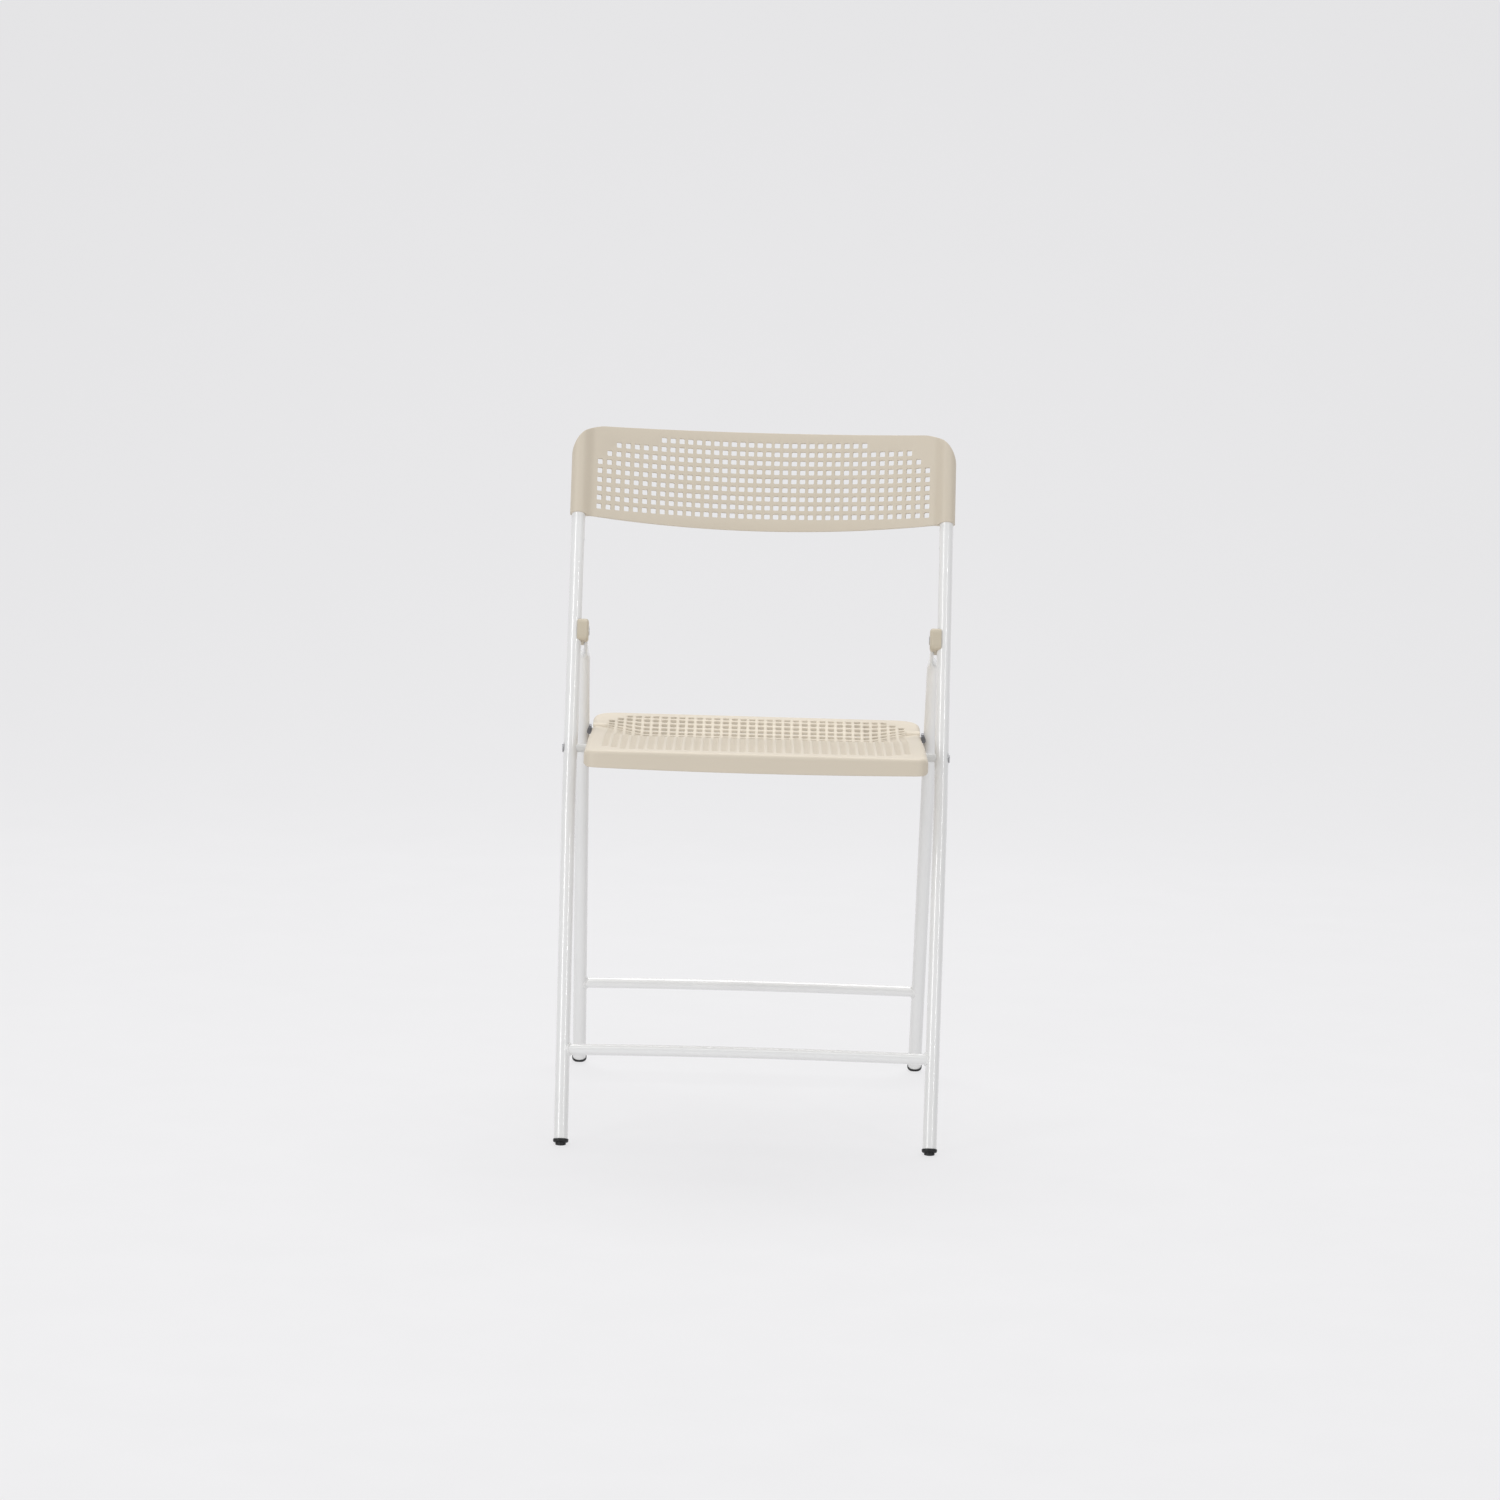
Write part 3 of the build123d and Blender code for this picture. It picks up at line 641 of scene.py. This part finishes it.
def add_sleeve(bm, sign, rows):
    """One end of the back: the valley and the sleeve, joined to the sheet's end."""
    front, rear = sleeve_profile(1.0), sleeve_profile(0.0)

    def mouth_rise(x, behind):
        reach = (x - UPRIGHT_X) / SLEEVE_RADIUS
        return SLEEVE_MOUTH_RISE * math.sqrt(max(1 - reach * reach, 0.0)) if behind < 0 else 0.0

    grids = []
    for profile, other in ((front, rear), (rear, front)):
        grid = []
        for (x, behind), (other_x, _) in zip(profile, other):
            middle = (x + other_x) / 2
            low, high = back_bottom(middle) + mouth_rise(x, behind), back_top(middle)
            grid.append([bm.verts.new(on_upright(sign * x, low + (high - low) * i / rows, behind))
                         for i in range(rows + 1)])
        grids.append(grid)
    for grid in grids:
        for here, there in zip(grid, grid[1:]):
            for i in range(rows):
                bm.faces.new((here[i], there[i], there[i + 1], here[i + 1]))
    for i in (0, rows):
        for j in range(len(front) - 1):
            bm.faces.new((grids[0][j][i], grids[0][j + 1][i], grids[1][j + 1][i], grids[1][j][i]))


make_back()


# ================= seat =================
def seat_rim(inset, corner_steps=10, side_steps=38):
    """Closed run of (x, rearward) round the seat, this far inside its edge."""
    points = []
    corners = [(1, 1, SEAT_REAR_CORNER, 0), (-1, 1, SEAT_REAR_CORNER, 1),
               (-1, -1, SEAT_FRONT_CORNER, 2), (1, -1, SEAT_FRONT_CORNER, 3)]
    for side_x, side_y, radius, quarter in corners:
        centre_x = side_x * (SEAT_HALF - radius)
        centre_y = (SEAT_REAR - radius) if side_y > 0 else (SEAT_FRONT + radius)
        arc = []
        for i in range(corner_steps + 1):
            angle = (quarter + i / corner_steps) * math.pi / 2
            arc.append((centre_x + (radius - inset) * math.cos(angle),
                        centre_y + (radius - inset) * math.sin(angle)))
        if points:
            points += between(points[-1], arc[0], side_steps)
        points += arc
    return points + between(points[-1], points[0], side_steps)


def between(start, end, steps):
    """The points inside a straight run."""
    return [tuple(a + (b - a) * i / steps for a, b in zip(start, end)) for i in range(1, steps)]


def seat_drop(x, rearward):
    """How far the seat's surface lies below its flat front; negative where the rear rim curls up."""
    lengthways = smooth_step(rearward, *SEAT_HOLLOW_FRONT) * (1 - smooth_step(rearward, *SEAT_HOLLOW_REAR))
    sideways = 1 - SEAT_HOLLOW_FADE * smooth_step(abs(x), *SEAT_HOLLOW_SIDE)
    return SEAT_HOLLOW * lengthways * sideways - SEAT_REAR_LIFT * smooth_step(rearward, *SEAT_LIFT_RUN)


def apron_depth(x, rearward):
    """Depth of the apron below the seat's surface: shallow at both ends, deep over the pivots."""
    front_share = smooth_step(rearward, SEAT_FRONT, SEAT_FRONT + SEAT_FRONT_RUN)
    rear_share = smooth_step(rearward, SEAT_REAR - SEAT_REAR_RUN, SEAT_REAR)
    corner = max((abs(x) - SEAT_HALF) / SEAT_CORNER_REACH + 1.0, 0.0)
    front = (SEAT_FRONT_APRON - SEAT_FRONT_APRON_RISE * (x / SEAT_HALF) ** 2
             - SEAT_CORNER_RISE * (1 - math.sqrt(1 - corner * corner)))
    depth = front + (SEAT_SIDE_APRON - front) * front_share
    return depth + (SEAT_REAR_APRON - SEAT_SIDE_APRON) * rear_share


def seat_sections():
    """Rings of the seat's edge, from the top sheet's rim round the apron to its underside.

    Each is (inset, depth, share of the apron's own depth).
    """
    steps = 6
    rings = [(SEAT_SHEET_INSET, 0.0, 0.0)]
    for i in range(steps + 1):
        angle = math.pi / 2 * i / steps
        rings.append((SEAT_EDGE * (1 - math.sin(angle)), SEAT_EDGE * (1 - math.cos(angle)), 0.0))
    rings += [(0.0, -0.5 * SEAT_LIP, 0.5), (0.0, -SEAT_LIP, 1.0), (SEAT_LIP, 0.0, 1.0),
              (SEAT_WALL - SEAT_LIP, 0.0, 1.0), (SEAT_WALL, -SEAT_LIP, 1.0)]
    inner = SEAT_EDGE - SEAT_WALL
    for i in range(steps + 1):
        angle = math.pi / 2 * (1 - i / steps)
        rings.append((SEAT_WALL + inner * (1 - math.sin(angle)),
                      SEAT_SKIN + inner * (1 - math.cos(angle)), 0.0))
    rings.append((SEAT_SHEET_INSET, SEAT_SKIN, 0.0))
    return rings


def seat_hole_centres():
    """Centre of each hole in the seat, as (x, rearward)."""
    centres = []
    half_x = (SEAT_COLUMNS - 1) / 2
    half_y = (SEAT_ROWS - 1) / 2
    for row in range(SEAT_ROWS):
        for column in range(SEAT_COLUMNS):
            x = (column - half_x) * SEAT_PITCH_ACROSS
            lengthways = (row - half_y) * HOLE_PITCH_UP
            if abs(x) + abs(lengthways) < SEAT_HOLE_CORNER_LINE:
                centres.append((x, SEAT_HOLES_MIDDLE + lengthways))
    return centres


def make_seat():
    """Pierced seat: a flat pierced sheet sunk to its hollow, with the edge and apron added round it."""
    rim = seat_rim(SEAT_SHEET_INSET)
    mesh = make_pierced_sheet("seat_flat", rim, seat_hole_centres(), SEAT_SKIN, sand_seat)
    bm = bmesh.new()
    bm.from_mesh(mesh)
    # the flat sheet's own outer walls go, because the edge and apron take their place
    rim_set = {(round(x, 5), round(y, 5)) for x, y in rim}
    walls = [f for f in bm.faces if all((round(v.co.x, 5), round(v.co.y, 5)) in rim_set for v in f.verts)
             and abs(f.normal.z) < 0.5]
    bmesh.ops.delete(bm, geom=walls, context="FACES")
    for vert in bm.verts:
        x, y, z = vert.co
        vert.co = on_seat(x, y, SEAT_TOP - SEAT_SKIN + z - seat_drop(x, y))
    loops = []
    for inset, depth, share in seat_sections():
        loop = []
        for (x, y), (outer_x, outer_y) in zip(seat_rim(inset), seat_rim(0.0)):
            full = apron_depth(outer_x, outer_y)
            down = depth if share == 0.0 else depth + SEAT_EDGE * (1 - share) + full * share
            loop.append(bm.verts.new(on_seat(x, y, SEAT_TOP - down - seat_drop(x, y))))
        loops.append(loop)
    for here, there in zip(loops, loops[1:]):
        for i in range(len(here)):
            j = (i + 1) % len(here)
            bm.faces.new((here[i], here[j], there[j], there[i]))
    bmesh.ops.remove_doubles(bm, verts=bm.verts, dist=MERGE)
    bmesh.ops.recalc_face_normals(bm, faces=bm.faces)

    def weight_at(middle):
        reach = max(abs(middle.x), abs(middle.y - SEAT_PIVOT.y))
        return 1.0 if reach < SEAT_PIERCED_REACH else 0.0

    weigh_sharp_edges(bm, weight_at)
    bm.to_mesh(mesh)
    bm.free()
    mesh = rounded_edges("seat_bevel", mesh, SEAT_HOLE_EDGE, segments=1)
    shade_smooth(mesh)
    tray = new_object("pierced_seat", mesh, sand_seat, "seat")
    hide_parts("seat")


make_seat()


def make_bosses():
    """The four bosses that hold the pins, just inside the seat's side walls."""
    steps = 40
    angles = [2 * math.pi * i / steps for i in range(steps)]
    start = SEAT_HALF - SEAT_WALL / 2
    end = SEAT_HALF - BOSS_LENGTH
    outline = [(start, BOSS_RADIUS), (end + BOSS_EDGE, BOSS_RADIUS),
               (end + 0.3 * BOSS_EDGE, BOSS_RADIUS - 0.3 * BOSS_EDGE), (end, BOSS_RADIUS - BOSS_EDGE)]
    for side_name, sign in (("left", -1), ("right", 1)):
        for end_name, pivot in (("front", SEAT_PIVOT), ("rear", REAR_PIVOT)):
            rings = [[(sign * x, pivot.y + radius * math.cos(a), pivot.z + radius * math.sin(a))
                      for a in angles] for x, radius in outline]
            name = f"{end_name}_pin_boss_{side_name}"
            capped_run(name, rings, sand_seat, "seat", BOSS_SHARP_TURN)


make_bosses()


# ================= rear legs =================
def leg_ring(sign, along, half_thick, half_wide, power, across, steps=64):
    """Section of a rear leg, from a circle to a flat with rounded edges as the power grows."""
    centre = Vector((0.0, REAR_FOOT_Y, 0.0)) + LEG_UP * along
    fore = Vector((0.0, LEG_UP.z, -LEG_UP.y))
    ring = []
    for i in range(steps):
        angle = 2 * math.pi * i / steps
        c, s = math.cos(angle), math.sin(angle)
        size = (abs(c) ** power + abs(s) ** power) ** (-1 / power)
        point = centre + fore * (half_wide * s * size)
        ring.append((sign * (across + half_thick * c * size), point.y, point.z))
    return ring


def make_rear_legs():
    """Each rear leg as one tube, swaged flat at the top and rounded round its top pivot."""
    rivet_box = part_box("leg_rivet_right")
    top = (rivet_box[0].z + rivet_box[1].z) / 2 / math.cos(LEG_LEAN)
    leg_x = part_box("rear_leg_right")[1].x - TUBE_RADIUS
    flat_x = UPRIGHT_X - FLAT_INSET
    round_end = top - FLAT_LENGTH - SWAGE_LENGTH
    last_turn = math.radians(84)
    swage_steps, end_steps = 14, 9
    for side_name, sign in (("left", -1), ("right", 1)):
        rings = [leg_ring(sign, TUBE_END, TUBE_RADIUS, TUBE_RADIUS, ROUND_POWER, leg_x)]
        for i in range(swage_steps + 1):
            t = smooth_step(i, 0, swage_steps)
            rings.append(leg_ring(sign, round_end + SWAGE_LENGTH * i / swage_steps,
                                  TUBE_RADIUS + (FLAT_HALF_THICK - TUBE_RADIUS) * t,
                                  TUBE_RADIUS + (FLAT_HALF_WIDE - TUBE_RADIUS) * t,
                                  ROUND_POWER + (FLAT_POWER - ROUND_POWER) * t * t,
                                  leg_x + (flat_x - leg_x) * t))
        for i in range(end_steps + 1):
            angle = last_turn * i / end_steps
            rings.append(leg_ring(sign, top + FLAT_HALF_WIDE * math.sin(angle), FLAT_HALF_THICK,
                                  FLAT_HALF_WIDE * math.cos(angle), FLAT_POWER, flat_x))
        name = f"rear_leg_{side_name}"
        leg = capped_run(f"swaged_{name}", rings, white_enamel, "rear_frame", SHARP_TURN)
        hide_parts(name)


make_rear_legs()


# ================= welds =================
def bead_ring(centre, axis, side, radius, tube_radius):
    """Closed run of points where a bar of this radius meets a round tube side on."""
    cross = axis.cross(side).normalized()
    ring = []
    for i in range(WELD_STEPS):
        angle = 2 * math.pi * i / WELD_STEPS
        up = radius * math.sin(angle)
        over = radius * math.cos(angle)
        out = math.sqrt(max(tube_radius ** 2 - over ** 2, 0.0))
        ring.append(centre + side * out + axis * up + cross * over)
    return ring


def make_weld(name, centre, axis, side, body):
    """Fillet weld, with the small ripples of its run, round a bar's end against a tube."""
    inner = bead_ring(centre, axis, side, BAR_RADIUS - WELD_SINK, TUBE_RADIUS)
    verts, faces = [], []
    count, turns = len(inner), WELD_SIDES
    middle = centre + side * TUBE_RADIUS
    for i, place in enumerate(inner):
        away = (place - middle).normalized()
        size = WELD_SIZE * (1 + WELD_RIPPLE * math.sin(i * WELD_RIPPLE_TURN))
        for k in range(turns):
            angle = 2 * math.pi * k / turns
            verts.append(place + away * size * math.cos(angle) + side * size * math.sin(angle))
    for i in range(count):
        for k in range(turns):
            a, b = i * turns + k, i * turns + (k + 1) % turns
            c, d = ((i + 1) % count) * turns + (k + 1) % turns, ((i + 1) % count) * turns + k
            faces.append((a, b, c, d))
    mesh = bpy.data.meshes.new(name)
    mesh.from_pydata(verts, [], faces)
    bm = bmesh.new()
    bm.from_mesh(mesh)
    bmesh.ops.recalc_face_normals(bm, faces=bm.faces)
    bm.to_mesh(mesh)
    bm.free()
    shade_smooth(mesh, WELD_SHARP_TURN)
    new_object(name, mesh, weld_enamel, body)


def make_welds():
    """One weld at each end of both cross bars."""
    leg_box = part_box("rear_leg_right")
    leg_x = leg_box[1].x - TUBE_RADIUS
    for side_name, sign in (("left", -1), ("right", 1)):
        toe = UPRIGHT_TOE_IN * (1 - FRONT_BAR_ALONG / UPRIGHT_BEND_ALONG)
        centre = on_upright(sign * (UPRIGHT_X - toe), FRONT_BAR_ALONG)
        make_weld(f"front_bar_weld_{side_name}", centre, UP, Vector((-sign, 0, 0)), "frame")
        centre = Vector((sign * leg_x, REAR_FOOT_Y, 0.0)) + LEG_UP * REAR_BAR_ALONG
        make_weld(f"rear_bar_weld_{side_name}", centre, LEG_UP, Vector((-sign, 0, 0)), "rear_frame")


make_welds()


# ================= floor, light and camera =================
def make_floor():
    """Plain pale sweep: a floor that curves up into a wall behind the chair."""
    half, front, depth, height = 7.0, -9.0, 3.2, 5.0
    bend, bend_steps = 1.6, 16
    section = [(front, 0.0), (depth - bend, 0.0)]
    for i in range(1, bend_steps + 1):
        angle = math.pi / 2 * i / bend_steps
        section.append((depth - bend + bend * math.sin(angle), bend * (1 - math.cos(angle))))
    section.append((depth, height))
    mesh = bpy.data.meshes.new("studio_sweep")
    verts = [(x, y, z) for y, z in section for x in (-half, half)]
    faces = [(2 * i, 2 * i + 1, 2 * i + 3, 2 * i + 2) for i in range(len(section) - 1)]
    mesh.from_pydata(verts, [], faces)
    mesh.polygons.foreach_set("use_smooth", [True] * len(mesh.polygons))
    sweep = bpy.data.objects.new("studio_sweep", mesh)
    bpy.context.scene.collection.objects.link(sweep)
    paper = make_plastic("pale_sweep_paper", (0.12, 0.12, 0.12), roughness=0.7,
                         spread=0.01, size=200.0, bump=0.02)
    glow = paper.node_tree.nodes["Principled BSDF"].inputs
    glow["Emission Color"].default_value = (0.99, 0.985, 1.0, 1)
    glow["Emission Strength"].default_value = 0.67
    mesh.materials.append(paper)


def add_softbox(name, place, width, height, power, aim=(0.0, 0.0, 0.4)):
    """Rectangular area light, which points at the chair's middle unless told otherwise."""
    light = bpy.data.lights.new(name, "AREA")
    light.shape = "RECTANGLE"
    light.size = width
    light.size_y = height
    light.energy = power
    lamp = bpy.data.objects.new(name, light)
    lamp.location = place
    lamp.rotation_euler = (Vector(aim) - Vector(place)).to_track_quat("-Z", "Y").to_euler()
    bpy.context.scene.collection.objects.link(lamp)


def light_studio():
    """Soft surround, an upright softbox in front on either side, and two high up."""
    world = bpy.data.worlds.new("soft_surround")
    bpy.context.scene.world = world
    bpy.context.scene.view_settings.view_transform = "Standard"
    world.use_nodes = True
    backdrop = world.node_tree.nodes["Background"].inputs
    backdrop["Color"].default_value = (0.97, 0.98, 1.0, 1)
    backdrop["Strength"].default_value = 0.38
    add_softbox("left_softbox", (-2.3, -2.4, 1.5), width=0.8, height=2.2, power=36.0)
    add_softbox("right_softbox", (2.1, -2.8, 1.5), width=0.22, height=2.2, power=24.0)
    add_softbox("front_softbox", (0.0, -2.0, 3.2), width=2.4, height=1.2, power=16.0)
    add_softbox("top_softbox", (0.0, 1.1, 2.9), width=3.0, height=1.6, power=62.0)


def place_camera():
    """Long lens in front of the chair, well above its back and tipped down."""
    camera = bpy.data.objects.new("camera", bpy.data.cameras.new("camera"))
    camera.data.lens = 132.0
    camera.data.sensor_width = 36.0
    place = Vector((-0.0083, -6.3163, 1.4169))
    yaw, pitch, roll = 0.0002, 0.15565, 0.02826
    forward = Vector((yaw, math.cos(pitch), -math.sin(pitch))).normalized()
    right = forward.cross(Vector((0, 0, 1))).normalized()
    up = right.cross(forward)
    axis_x = math.cos(roll) * right + math.sin(roll) * up
    axis_y = math.cos(roll) * up - math.sin(roll) * right
    turn = Matrix((axis_x, axis_y, -forward)).transposed()
    camera.matrix_world = Matrix.Translation(place) @ turn.to_4x4()
    bpy.context.scene.collection.objects.link(camera)
    bpy.context.scene.camera = camera


make_floor()
light_studio()
place_camera()
